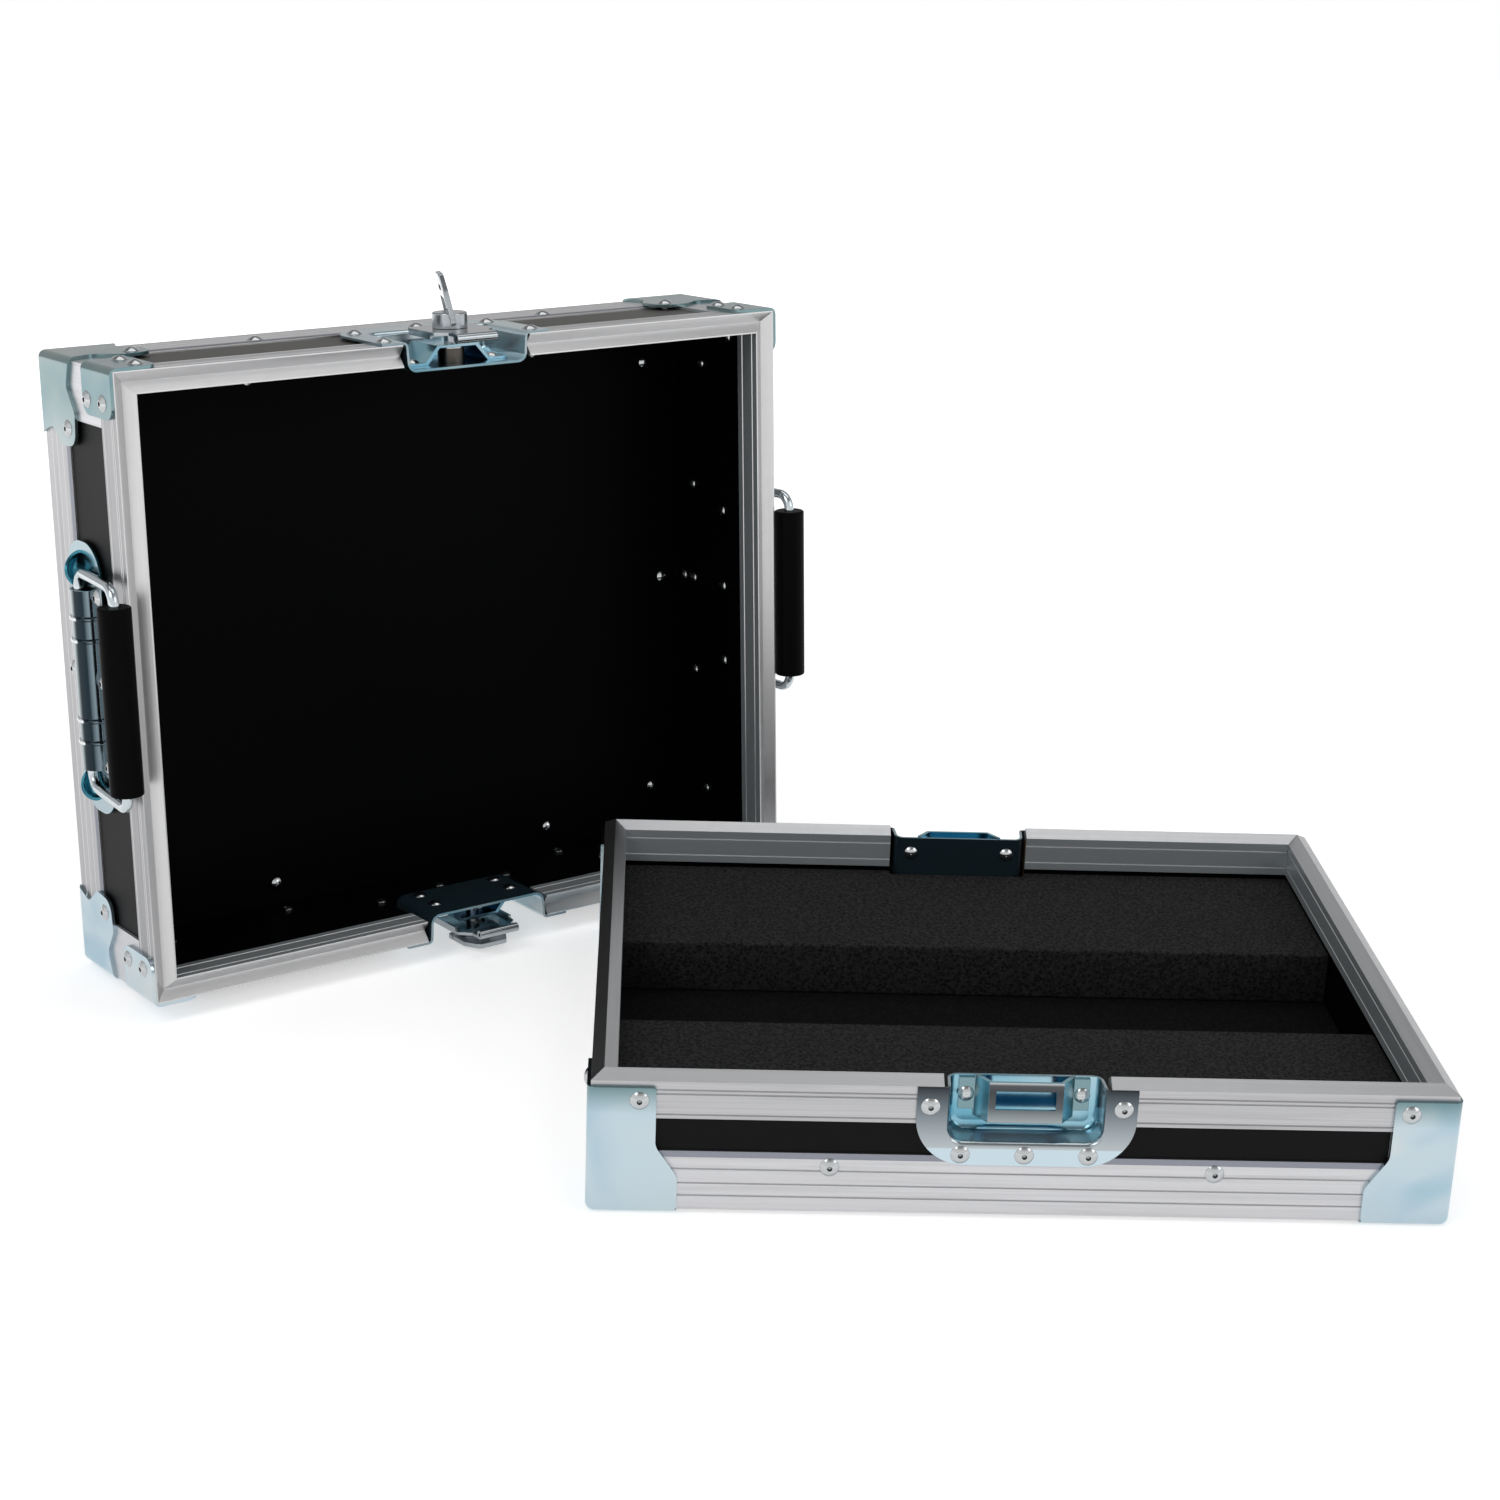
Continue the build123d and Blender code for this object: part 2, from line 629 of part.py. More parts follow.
def rivet_plan(height, is_base):
    """Blind rivets of one half by face: place along it, distance from the rim, level and length through."""
    wall = edge_wall + board
    buried = edge_wall + buried_length
    plan = {}
    for side in sides:
        long_side = side in long_sides
        half = half_w if long_side else half_d
        middle, up = (edge_rivet_spacing / 2, edge_rivet_from_edge) if long_side else (0, short_side_rivet)
        rows = [(middle, height - up, 0, wall)]
        if is_base:
            a, z = tall_brace_rivet
            rows.append((half - a, height - z, brace_wall, buried + brace_wall))
            beside, below = keeper_dish_rivets
        else:
            rows.append((half - lid_brace_rivet, height - lid_brace_rivet, brace_wall, wall + brace_wall))
            a, steps = rim_brace_rivets
            rows.append((half - a, steps[0], brace_wall, buried + brace_wall))
            rows.append((half - a, steps[1], brace_wall, wall + brace_wall))
            beside, below = latch_dish_rivets
        if long_side:
            rows.append((*beside, dish_wall, buried + dish_wall))
            rows += [(*place, dish_wall, wall + dish_wall) for place in below]
        plan[side] = mirrored_pairs(rows)
        if not is_base and not long_side:
            plan[side] += [(a, s, handle_sheet, wall + handle_sheet) for a, s in handle_rivets]
    floor = [(edge_rivet_spacing / 2, half_d - edge_rivet_from_edge, 0, wall)]
    if not is_base:
        reach = lid_brace_rivet
        floor.append((half_w - reach, half_d - reach, brace_wall, wall + brace_wall))
    plan["floor"] = mirrored_pairs(floor + [(a, -s, n, stack) for a, s, n, stack in floor])
    plan["floor"] += mirrored_pairs([(half_w - short_back_rivet, 0, 0, wall)])
    return plan


def comes_through(n, stack):
    """Whether a rivet reaches past the board and has a bulb behind it."""
    return stack - n > edge_wall + board - 0.01


def frame_of(side, height):
    return back_plane() if side == "floor" else face_plane(side, height)


def rivet_drills(plan, height):
    """Cylinders for the shanks, by face."""
    drills = {}
    for side, spots in plan.items():
        frame = frame_of(side, height)
        drills[side] = [frame * Pos(a, s, n - t / 2) * Cylinder(rivet_shank, t) for a, s, n, t in spots]
    return drills


def place_rivets(plan, height):
    made = {}
    result = []
    for side, spots in plan.items():
        for a, s, n, stack in spots:
            key = (round(stack, 3), comes_through(n, stack))
            if key not in made:
                made[key] = blind_rivet(*key)
            result.append(frame_of(side, height) * Pos(a, s, n) * made[key])
    return result


def tails_cut(plan, height, faces):
    """Room for the rivets' bulbs in foam that lies against a wall."""
    radius = rivet_tail + foam_gap
    deep = rivet_tail_height + foam_gap
    return [frame_of(side, height) * Pos(a, s, n - stack - deep / 2) * Cylinder(radius, deep)
            for side in faces for a, s, n, stack in plan[side] if comes_through(n, stack)]


def base_parts():
    """The base in its own frame: Z = 0 on the aluminium's underside."""
    plan = rivet_plan(base_height, True)
    drills = rivet_drills(plan, base_height)
    all_drills = [drill for side in drills.values() for drill in side]
    boards = panels(base_height, keeper_dish_length + dish_wall + 1.0, drills, web)
    edges = edge_profiles(base_height, drills)
    rims = rim_profiles(base_height, True, drills)
    nodes = {"base_bottom_panel": boards["floor"]}
    for side in sides:
        nodes[f"base_{side}_panel"] = boards[side]
    nodes["base_long_edge_profiles"] = [edges["front"], edges["rear"]]
    nodes["base_short_edge_profiles"] = [edges["left"], edges["right"]]
    nodes["base_corner_profiles"] = corner_profiles(base_height, all_drills)
    nodes["base_long_rims"] = [rims["front"], rims["rear"]]
    nodes["base_short_rims"] = [rims["left"], rims["right"]]
    brace = tall_brace()
    names = ("front_left", "front_right", "rear_right", "rear_left")
    for name, place in zip(names, corner_places()):
        nodes[f"base_brace_{name}"] = pierce(place * brace, all_drills)
    rivets = place_rivets(plan, base_height)
    pressed = dish(keeper_dish_length, keeper_flange_length, keeper_dish_corner) - foot_drills(keeper_rivets)
    for side in long_sides:
        place = face_plane(side, base_height)
        nodes[f"{side}_keeper_dish"] = pierce(place * pressed, drills[side])
        nodes[f"{side}_keeper"] = place * keeper()
        rivets += [place * rivet for rivet in foot_heads(keeper_rivets)]
    nodes["base_rivets"] = rivets
    floor_level = edge_wall + board
    hw, hd = room_w / 2, room_d / 2
    top = bar_top - brace_wall
    sheet = block(-hw, hw, -hd, hd, floor_level, floor_level + lining)
    nodes["base_floor_lining"] = sheet - tails_cut(plan, base_height, ["floor", "left", "right"])
    notch = dish_depth + dish_wall + foam_gap - edge_wall - board
    for side, depth, sign in (("front", front_bar, -1), ("rear", rear_bar, 1)):
        y0, y1 = sorted((sign * hd, sign * (hd - depth)))
        bar_solid = block(-hw, hw, y0, y1, floor_level + lining, top)
        wide = dish_inner_width / 2 + dish_wall + foam_gap
        under = base_height - keeper_dish_length - dish_wall - foam_gap
        cut_y0, cut_y1 = sorted((sign * (hd + 1), sign * (hd - notch - dome_height)))
        bar_solid -= block(-wide, wide, cut_y0, cut_y1, under, top + 5)
        nodes[f"{side}_foam_bar"] = bar_solid - tails_cut(plan, base_height, [side, "left", "right"])
    return nodes


def lid_parts():
    """The lid in its own frame: Z = 0 on the back face's aluminium, open side at Z = lid_height."""
    plan = rivet_plan(lid_height, False)
    drills = rivet_drills(plan, lid_height)
    all_drills = [drill for side in drills.values() for drill in side]
    boards = panels(lid_height, latch_dish_length + dish_wall + 1.0, drills, ridge_height + ridge_gap + web)
    edges = edge_profiles(lid_height, drills)
    rims = rim_profiles(lid_height, False, drills)
    upright = {"front": "bottom", "rear": "top", "left": "left", "right": "right"}
    nodes = {"lid_back_panel": boards["floor"]}
    for side, name in upright.items():
        nodes[f"lid_{name}_panel"] = boards[side]
    nodes["lid_long_edge_profiles"] = [edges["front"], edges["rear"]]
    nodes["lid_short_edge_profiles"] = [edges["left"], edges["right"]]
    nodes["lid_corner_profiles"] = corner_profiles(lid_height, all_drills)
    nodes["lid_long_rims"] = [rims["front"], rims["rear"]]
    nodes["lid_short_rims"] = [rims["left"], rims["right"]]
    brace = lid_brace()
    names = ("bottom_left", "bottom_right", "top_right", "top_left")
    for name, place in zip(names, corner_places()):
        nodes[f"lid_brace_{name}"] = pierce(place * brace, all_drills)
    small = rim_brace(lid_height)
    nodes["lid_rim_braces"] = [pierce(place * small, all_drills) for place in corner_places()]
    rivets = place_rivets(plan, lid_height)
    pressed = dish(latch_dish_length, latch_flange_length, latch_dish_corner) - foot_drills(bridge_rivets)
    for side, name in (("rear", "upper"), ("front", "lower")):
        place = face_plane(side, lid_height)
        nodes[f"{name}_latch_dish"] = pierce(place * pressed, drills[side])
        nodes[f"{name}_latch_bridge"] = place * latch_bridge()
        rivets += [place * rivet for rivet in foot_heads(bridge_rivets)]
        out = latch_lift if name == "upper" else latch_lift - lower_press
        turn = upper_turn if name == "upper" else 0.0
        pulled = hook_draw * turn / 180
        raised = place * Pos(0, 0, out)
        turning = raised * Pos(0, hub_from_rim, 0) * Rot(0, 0, turn) * Pos(0, -hub_from_rim, 0)
        nodes[f"{name}_latch_spring"] = place * latch_spring(out)
        nodes[f"{name}_latch_spindle"] = raised * latch_spindle()
        nodes[f"{name}_latch_hub"] = turning * latch_hub()
        nodes[f"{name}_latch_hook"] = raised * Pos(0, pulled, 0) * latch_hook()
        wing = latch_wing()
        if name == "upper":
            pin = Pos(0, hub_from_rim, pin_level)
            wing = pin * Rot(-upper_wing_raised, 0, 0) * pin.inverse() * wing
        nodes[f"{name}_latch_wing"] = turning * wing
    for side in ("left", "right"):
        place = face_plane(side, lid_height)
        nodes[f"{side}_handle_plate"] = place * handle_plate_body()
        nodes[f"{side}_handle_bail"] = place * bail_wire()
        nodes[f"{side}_handle_grip"] = place * handle_grip()
    nodes["handle_springs"] = [face_plane(side, lid_height) * handle_spring() for side in ("left", "right")]
    nodes["lid_rivets"] = rivets
    return nodes


def lean_angle():
    """Lean of the lid when its rear lower corners and the folded lower wing both touch the floor."""
    wing_face = pin_level + wing_sheet / 2 + latch_lift - lower_press
    corner_n = brace_wall - brace_round
    corner_s = lid_height + brace_wall - brace_round
    tip_s = hub_from_rim - wing_length
    span = sqrt((corner_s - tip_s) ** 2 + (wing_face - corner_n) ** 2)
    slope = degrees(asin((wing_face - corner_n) / span))
    return slope - degrees(asin(brace_round / span))


lean = lean_angle()
base_place = Pos(0, 0, brace_wall)
lid_turned = Pos(*lid_corner, 0) * Rot(0, 0, lid_turn)
lid_stand = lid_turned * Rot(90 - lean, 0, 0) * Pos(half_w, half_d, -lid_height)


def solids_of(shape):
    pieces = shape if isinstance(shape, list) else [shape]
    return [solid for piece in pieces for solid in piece.solids()]


def assemble():
    """Both halves in the shared frame, as lists of solids by name, with the shift that was applied."""
    lid = {name: [lid_stand * solid for solid in solids_of(shape)] for name, shape in lid_parts().items()}
    lowest = min(solid.bounding_box().min.Z for solids in lid.values() for solid in solids)
    rise = Pos(0, 0, -lowest)
    nodes = {name: [base_place * solid for solid in solids_of(shape)] for name, shape in base_parts().items()}
    nodes.update({name: [rise * solid for solid in solids] for name, solids in lid.items()})
    boxes = [solid.bounding_box() for solids in nodes.values() for solid in solids]
    low_x, high_x = min(b.min.X for b in boxes), max(b.max.X for b in boxes)
    low_y, high_y = min(b.min.Y for b in boxes), max(b.max.Y for b in boxes)
    shift = Pos(-(low_x + high_x) / 2, -(low_y + high_y) / 2, -min(b.min.Z for b in boxes))
    nodes = {name: [shift * solid for solid in solids] for name, solids in nodes.items()}
    return nodes, shift * base_place, shift * rise * lid_stand


def write_parts(nodes):
    os.makedirs("parts", exist_ok=True)
    for name, solids in nodes.items():
        shape = solids[0] if len(solids) == 1 else Compound(children=solids)
        export_step(shape, f"parts/{name}.step")


nodes, base_frame, lid_frame = assemble()
write_parts(nodes)
print(len(nodes), "nodes,", sum(len(solids) for solids in nodes.values()), "solids, lean", round(lean, 2))
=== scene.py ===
import json
from math import cos, radians, sin

import bmesh
import bpy
from mathutils import Matrix, Vector


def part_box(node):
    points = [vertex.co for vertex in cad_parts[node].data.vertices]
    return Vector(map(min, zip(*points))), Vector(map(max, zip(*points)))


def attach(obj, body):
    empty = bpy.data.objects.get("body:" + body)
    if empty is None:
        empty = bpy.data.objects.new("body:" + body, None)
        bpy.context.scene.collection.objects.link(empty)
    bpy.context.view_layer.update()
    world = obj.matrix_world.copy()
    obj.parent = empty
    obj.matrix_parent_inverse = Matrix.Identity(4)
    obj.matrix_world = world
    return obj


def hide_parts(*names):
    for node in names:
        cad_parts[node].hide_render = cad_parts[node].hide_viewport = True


# Looks of the mixer flight case. Metres, in the CAD model's frame.

MM = 0.001

# Camera, from the base's front left corner
CAMERA_PLACE = (21.0 * MM, -1256.1 * MM, 689.5 * MM)
CAMERA_HEADING = radians(2.387)
CAMERA_DOWN = radians(19.26)
CAMERA_ROLL = radians(2.152)
FOCAL_PIXELS = 2774.6
IMAGE_PIXELS = 1500
SENSOR = 36.0

# From the middle of a side board to the aluminium's outer face, and of the lid's back board to its rim
FACE_FROM_BOARD = 6.5 * MM
LID_RIM_FROM_BOARD = 96.5 * MM
DISH_SHEET = 1.5 * MM

# Studio: the world's light on the object, and what metal sees: by height from the horizon up, and behind
WORLD_LIGHT = 0.42
STUDIO_WHITE_TO = 0.42
STUDIO_GREY_FROM = 0.8
STUDIO_OVERHEAD = 0.28
STUDIO_FRONT_TO = -0.2
STUDIO_BACK_FROM = 0.6
STUDIO_BACK = 0.55
FLOOR_GLOW = 0.5
FLOOR_PLAIN_FROM = 0.7
FLOOR_PLAIN_TO = 2.2

LATCH_MOVERS = ("_hook", "_hub", "_wing", "_spindle")

# Reflectance of the rims and of the edge angles, darkest and lightest
RIM_TONES = (0.42, 0.52)
EDGE_TONES = (0.54, 0.64)
# Painted shade: the lid's short rims and edges are darkened against its long ones
SHORT_SIDE_PAINTED_SHADE = {"base": 1.0, "lid": 0.74}
# Painted light: rim faces that look out of each half are lightened towards these colours, most on the lid
ROOF_PAINTED_LIGHT = {"base": (0.5, 0.51, 0.52), "lid": (0.72, 0.72, 0.72)}

# Names of the shader's sockets
SHADER_SOCKETS = {
    "colour": "Base Color",
    "rough": "Roughness",
    "metal": "Metallic",
    "normal": "Normal",
    "gloss": "Specular IOR Level",
}

# Foam
FOAM_SHY = 0.4 * MM
FOAM_EDGE = 1.6 * MM
KEEPER_TUB_HALF = 40.7 * MM

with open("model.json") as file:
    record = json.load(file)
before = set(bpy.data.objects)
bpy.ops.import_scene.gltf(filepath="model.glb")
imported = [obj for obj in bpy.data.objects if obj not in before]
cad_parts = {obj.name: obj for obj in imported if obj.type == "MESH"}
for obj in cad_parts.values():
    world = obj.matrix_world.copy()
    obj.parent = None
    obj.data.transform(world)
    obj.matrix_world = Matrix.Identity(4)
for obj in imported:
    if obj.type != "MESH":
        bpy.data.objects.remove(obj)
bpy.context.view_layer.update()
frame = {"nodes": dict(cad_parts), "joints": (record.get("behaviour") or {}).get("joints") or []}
nodes = frame["nodes"]
joints = {joint["name"]: joint for joint in frame["joints"]}


def lid_axes():
    """The lid's own directions: along the rim, up the lid, and out of its open side."""
    up = Vector(joints["upper_latch_lift"]["axis"]).normalized()
    out = -Vector(joints["upper_hook_draw"]["axis"]).normalized()
    return up.cross(out).normalized(), up, out


LID_ALONG, LID_UP, LID_OUT = lid_axes()
BASE_TURN = Matrix.Identity(3)
LID_TURN = Matrix((LID_ALONG, LID_UP, LID_OUT)).transposed()


def grey(value):
    return (value, value, value * 1.03)


def middle_of(name):
    low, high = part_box(name)
    return (low + high) / 2


def face_level(board, outward):
    """Level of the aluminium's outer face on one side of a half, along its outward direction."""
    return outward.dot(middle_of(board)) + FACE_FROM_BOARD


class Tree:
    """Short hand for building a material's nodes."""

    def __init__(self, name):
        self.material = bpy.data.materials.new(name)
        self.material.use_nodes = True
        self.tree = self.material.node_tree
        self.shader = next(n for n in self.tree.nodes if n.type == "BSDF_PRINCIPLED")

    def add(self, kind, **values):
        node = self.tree.nodes.new("ShaderNode" + kind)
        for key, value in values.items():
            setattr(node, key, value)
        return node

    def link(self, source, target):
        self.tree.links.new(source, target)

    def put(self, socket, value):
        if isinstance(value, bpy.types.NodeSocket):
            self.link(value, socket)
        else:
            socket.default_value = value

    def place(self, turn=BASE_TURN, stretch=(1, 1, 1)):
        """Position in a half's own directions, in metres, each divided by its stretch."""
        coords = self.add("TexCoord")
        mapping = self.add("Mapping", vector_type="TEXTURE")
        mapping.inputs["Rotation"].default_value = turn.to_euler()
        mapping.inputs["Scale"].default_value = stretch
        self.link(coords.outputs["Object"], mapping.inputs["Vector"])
        return mapping.outputs["Vector"]

    def noise(self, vector, scale, detail=3.0, roughness=0.55, distortion=0.0):
        node = self.add("TexNoise")
        self.link(vector, node.inputs["Vector"])
        node.inputs["Scale"].default_value = scale
        node.inputs["Detail"].default_value = detail
        node.inputs["Roughness"].default_value = roughness
        node.inputs["Distortion"].default_value = distortion
        return node.outputs["Fac"]

    def cells(self, vector, scale):
        node = self.add("TexVoronoi")
        self.link(vector, node.inputs["Vector"])
        node.inputs["Scale"].default_value = scale
        return node.outputs["Distance"]

    def ramp(self, value, *stops):
        node = self.add("ValToRGB")
        self.link(value, node.inputs["Fac"])
        elements = node.color_ramp.elements
        while len(elements) < len(stops):
            elements.new(0.5)
        for element, (place, colour) in zip(elements, stops):
            element.position = place
            element.color = (*colour, 1) if isinstance(colour, tuple) else (colour, colour, colour, 1)
        return node.outputs["Color"]

    def span(self, value, low, high):
        """A 0 to 1 value stretched to run from low to high."""
        node = self.add("MapRange")
        self.link(value, node.inputs["Value"])
        node.inputs["To Min"].default_value = low
        node.inputs["To Max"].default_value = high
        return node.outputs["Result"]

    def window(self, value, low, high):
        """0 below low, 1 above high."""
        node = self.add("MapRange")
        self.link(value, node.inputs["Value"])
        node.inputs["From Min"].default_value = low
        node.inputs["From Max"].default_value = high
        return node.outputs["Result"]

    def mix(self, factor, first, second):
        node = self.add("Mix", data_type="RGBA")
        self.put(node.inputs["Factor"], factor)
        self.put(node.inputs["A"], (*first, 1) if isinstance(first, tuple) else first)
        self.put(node.inputs["B"], (*second, 1) if isinstance(second, tuple) else second)
        return node.outputs["Result"]

    def math(self, operation, first, second=0.0):
        node = self.add("Math", operation=operation)
        self.put(node.inputs[0], first)
        self.put(node.inputs[1], second)
        return node.outputs[0]

    def dot(self, vector, axis):
        node = self.add("VectorMath", operation="DOT_PRODUCT")
        self.link(vector, node.inputs[0])
        node.inputs[1].default_value = axis
        return node.outputs["Value"]

    def along(self, axis, start, sign):
        """Distance along an axis from a start level, in metres."""
        measured = self.math("SUBTRACT", self.dot(self.place(), axis), start)
        return self.math("MULTIPLY", measured, sign)

    def facing(self, axis):
        """How far the surface faces along an axis, -1 to 1."""
        return self.dot(self.add("NewGeometry").outputs["Normal"], axis)

    def outer_side(self, centre):
        """1 on faces that look away from a centre, 0 on faces that look towards it."""
        away = self.add("VectorMath", operation="SUBTRACT")
        self.link(self.place(), away.inputs[0])
        away.inputs[1].default_value = centre
        outward = self.add("VectorMath", operation="DOT_PRODUCT")
        self.link(away.outputs[0], outward.inputs[0])
        self.link(self.add("NewGeometry").outputs["Normal"], outward.inputs[1])
        return self.window(outward.outputs["Value"], -2 * MM, 2 * MM)

    def bump(self, height, distance, strength=1.0, edge=0.0):
        node = self.add("Bump")
        node.inputs["Strength"].default_value = strength
        node.inputs["Distance"].default_value = distance
        self.link(height, node.inputs["Height"])
        if edge:
            self.link(self.soft_edge(edge), node.inputs["Normal"])
        return node.outputs["Normal"]

    def soft_edge(self, radius):
        node = self.add("Bevel", samples=4)
        node.inputs["Radius"].default_value = radius
        return node.outputs["Normal"]

    def set(self, **values):
        for key, value in values.items():
            value = (*value, 1) if isinstance(value, tuple) else value
            self.put(self.shader.inputs[SHADER_SOCKETS[key]], value)
        return self.material


def aluminium(name, turn, run, tones, roof_painted_light, opening, centre):
    """Satin extrusion: die lines and rubbed streaks that run with the profile, painted shade on a shallow
    bevel, and a painted highlight on faces that look out of the half. run is its axis in its half, 0 to 2;
    opening points out of the half and centre is its middle."""
    tree = Tree(name)
    fine, broad = [0.0007] * 3, [0.004] * 3
    fine[run], broad[run] = 0.5, 0.16
    lines = tree.noise(tree.place(turn, fine), 1.0, 4.0, 0.7)
    streaks = tree.noise(tree.place(turn, broad), 1.0, 3.0, 0.6)
    scuff = tree.noise(tree.place(turn), 160.0, 6.0, 0.7, 1.5)
    dark, light = tones
    colour = tree.ramp(lines, (0.3, grey(dark)), (0.7, grey(light)))
    colour = tree.mix(tree.window(streaks, 0.5, 0.8), colour, grey(dark * 0.86))
    # Painted shade: faces tilted a little towards the opening, the shallow bevel, are darkened
    tilt = tree.math("ABSOLUTE", tree.math("SUBTRACT", tree.facing(opening), 0.19))
    colour = tree.mix(tree.window(tilt, 0.09, 0.05), colour, (0.25, 0.262, 0.3))
    # Painted highlight: faces that look out of the half are lightened
    colour = tree.mix(tree.math("MULTIPLY", tree.window(tree.facing(opening), 0.3, 0.5), 0.6), colour, roof_painted_light)
    wall = tree.window(tree.math("ABSOLUTE", tree.facing(opening)), 0.45, 0.3)
    inner = tree.math("MULTIPLY", wall, tree.math("SUBTRACT", 1.0, tree.outer_side(centre)))
    colour = tree.mix(inner, colour, (0.43, 0.47, 0.49))
    rough = tree.span(scuff, 0.27, 0.43)
    metal = tree.span(inner, 1.0, 0.55)
    return tree.set(colour=colour, metal=metal, rough=rough, normal=tree.bump(lines, 0.00005, 0.5, 0.0003))


def zinc_colour(tree, here, tint, pale, deep):
    """Tint that drifts between pale, blue and green over a few centimetres, as on blue-passivated zinc."""
    drift = tree.noise(here, 17.0, 2.0, 0.5, 0.6)
    return tree.ramp(drift, (0.3, deep), (0.48, tint), (0.66, pale))


def brace_zinc(name, turn, up, middle, reach):
    """Brace sheet: pale blue low on the half, and painted shade and reflection that make it a greener, darker
    teal high on it.
    """
    tree = Tree(name)
    here = tree.place(turn)
    low = zinc_colour(tree, here, (0.47, 0.58, 0.64), (0.56, 0.62, 0.64), (0.34, 0.49, 0.58))
    high = zinc_colour(tree, here, (0.19, 0.28, 0.29), (0.26, 0.32, 0.32), (0.13, 0.24, 0.28))
    height = tree.along(up, up.dot(middle), 1.0)
    # Painted shade and reflection: the sheet turns darker with height on the half
    colour = tree.mix(tree.window(height, reach / 2, reach), low, high)
    grain = tree.noise(here, 900.0, 3.0, 0.6)
    return tree.set(colour=colour, metal=1.0, rough=tree.span(tree.noise(here, 60.0, 5.0, 0.7), 0.14, 0.26),
                    normal=tree.bump(grain, 0.00002, 0.4, 0.0004))


def dish_zinc(name, board, outward, away, rim, shaded):
    """Pressed dish: silvery flange, teal inside the tub with painted shade deepest on its floor, and painted
    blue-black shade behind it. outward points out of the face that carries it, away points from the rim; a
    shaded flange has painted shade that darkens it towards the rim."""
    centre = middle_of(name)
    tree = Tree(f"{name}_zinc")
    here = tree.place()
    depth = tree.along(outward, face_level(board, outward) + DISH_SHEET, -1.0)
    from_rim = tree.along(away, rim, 1.0)
    flange = zinc_colour(tree, here, (0.44, 0.55, 0.59), (0.54, 0.63, 0.66), (0.36, 0.48, 0.54))
    if shaded:
        # Painted shade and reflection: the flange is near black at the rim and lightens away from it, and the
        # strip past 33 mm from the rim is a pale painted reflection
        painted_rim_shade = tree.ramp(tree.window(from_rim, 0.0, 33 * MM), (0.0, (0.035, 0.042, 0.05)),
                         (0.3, (0.13, 0.155, 0.175)), (0.7, (0.3, 0.335, 0.36)), (1.0, (0.42, 0.46, 0.48)))
        flange = tree.mix(tree.window(from_rim, 33.2 * MM, 33.8 * MM), painted_rim_shade, (0.52, 0.63, 0.69))
    wall = zinc_colour(tree, here, (0.58, 0.68, 0.72), (0.8, 0.84, 0.86), (0.3, 0.5, 0.58))
    floor = zinc_colour(tree, here, (0.27, 0.47, 0.56), (0.46, 0.6, 0.65), (0.13, 0.36, 0.48))
    # Painted shade over the zinc's own blue tint: deeper than 12 mm, the tub's floor is a darker, more
    # saturated blue than its walls
    inside = tree.mix(tree.window(depth, 12 * MM, 15 * MM), wall, floor)
    colour = tree.mix(tree.window(depth, 0.8 * MM, 4.5 * MM), flange, inside)
    # Painted shade: the back of the sheet, the outer sides of the tub and its walls turned away from the rim
    # are made a near-black, barely metallic blue
    behind = tree.window(tree.facing(outward), 0.15, -0.25)
    sideways = outward.cross(away).normalized()
    lean = tree.math("MULTIPLY", tree.along(sideways, sideways.dot(centre), 1.0), tree.facing(sideways))
    deep = tree.window(depth, 2.5 * MM, 3.5 * MM)
    outer_wall = tree.math("MULTIPLY", tree.window(lean, 0.0, 12 * MM), deep)
    end_wall = tree.math("MULTIPLY", tree.window(tree.facing(away), 0.2, 0.6), deep)
    painted_shade_faces = tree.math("MAXIMUM", behind, tree.math("MAXIMUM", outer_wall, end_wall))
    colour = tree.mix(painted_shade_faces, colour, (0.013, 0.026, 0.034))
    grain = tree.noise(here, 900.0, 3.0, 0.6)
    rough = tree.span(tree.noise(here, 60.0, 5.0, 0.7), 0.13, 0.24)
    normal = tree.bump(grain, 0.00002, 0.4, 0.0004)
    return tree.set(colour=colour, metal=tree.span(painted_shade_faces, 1.0, 0.15), rough=rough, normal=normal)


def keeper_zinc(name, board, outward, away, rim):
    """Strike plate: grey deck with a painted highlight on its top edge and painted shade darkest beside the
    rim, teal sides and feet, and painted shade on faces turned back.
    """
    tree = Tree(f"{name}_zinc")
    depth = tree.along(outward, face_level(board, outward), -1.0)
    from_rim = tree.window(tree.along(away, rim, 1.0), 0.0, 23 * MM)
    # Painted highlight at the top edge, then painted shade, darkest beside the rim and lightening away from
    # it
    deck = tree.ramp(from_rim, (0.0, (0.42, 0.45, 0.46)), (0.05, (0.09, 0.095, 0.1)),
                     (0.22, (0.06, 0.064, 0.068)), (0.6, (0.1, 0.11, 0.118)), (0.75, (0.2, 0.225, 0.235)),
                     (1.0, (0.34, 0.38, 0.39)))
    colour = tree.mix(tree.window(tree.facing(outward), 0.95, 0.8), deck, (0.28, 0.5, 0.57))
    colour = tree.mix(tree.window(depth, 11 * MM, 12.5 * MM), colour, (0.19, 0.3, 0.325))
    # Painted shade: faces turned back into the tub are a dark deep blue
    colour = tree.mix(tree.window(tree.facing(outward), 0.0, -0.3), colour, (0.03, 0.2, 0.33))
    rough = tree.span(tree.noise(tree.place(), 90.0, 4.0), 0.16, 0.28)
    return tree.set(colour=colour, metal=1.0, rough=rough, normal=tree.soft_edge(0.0004))


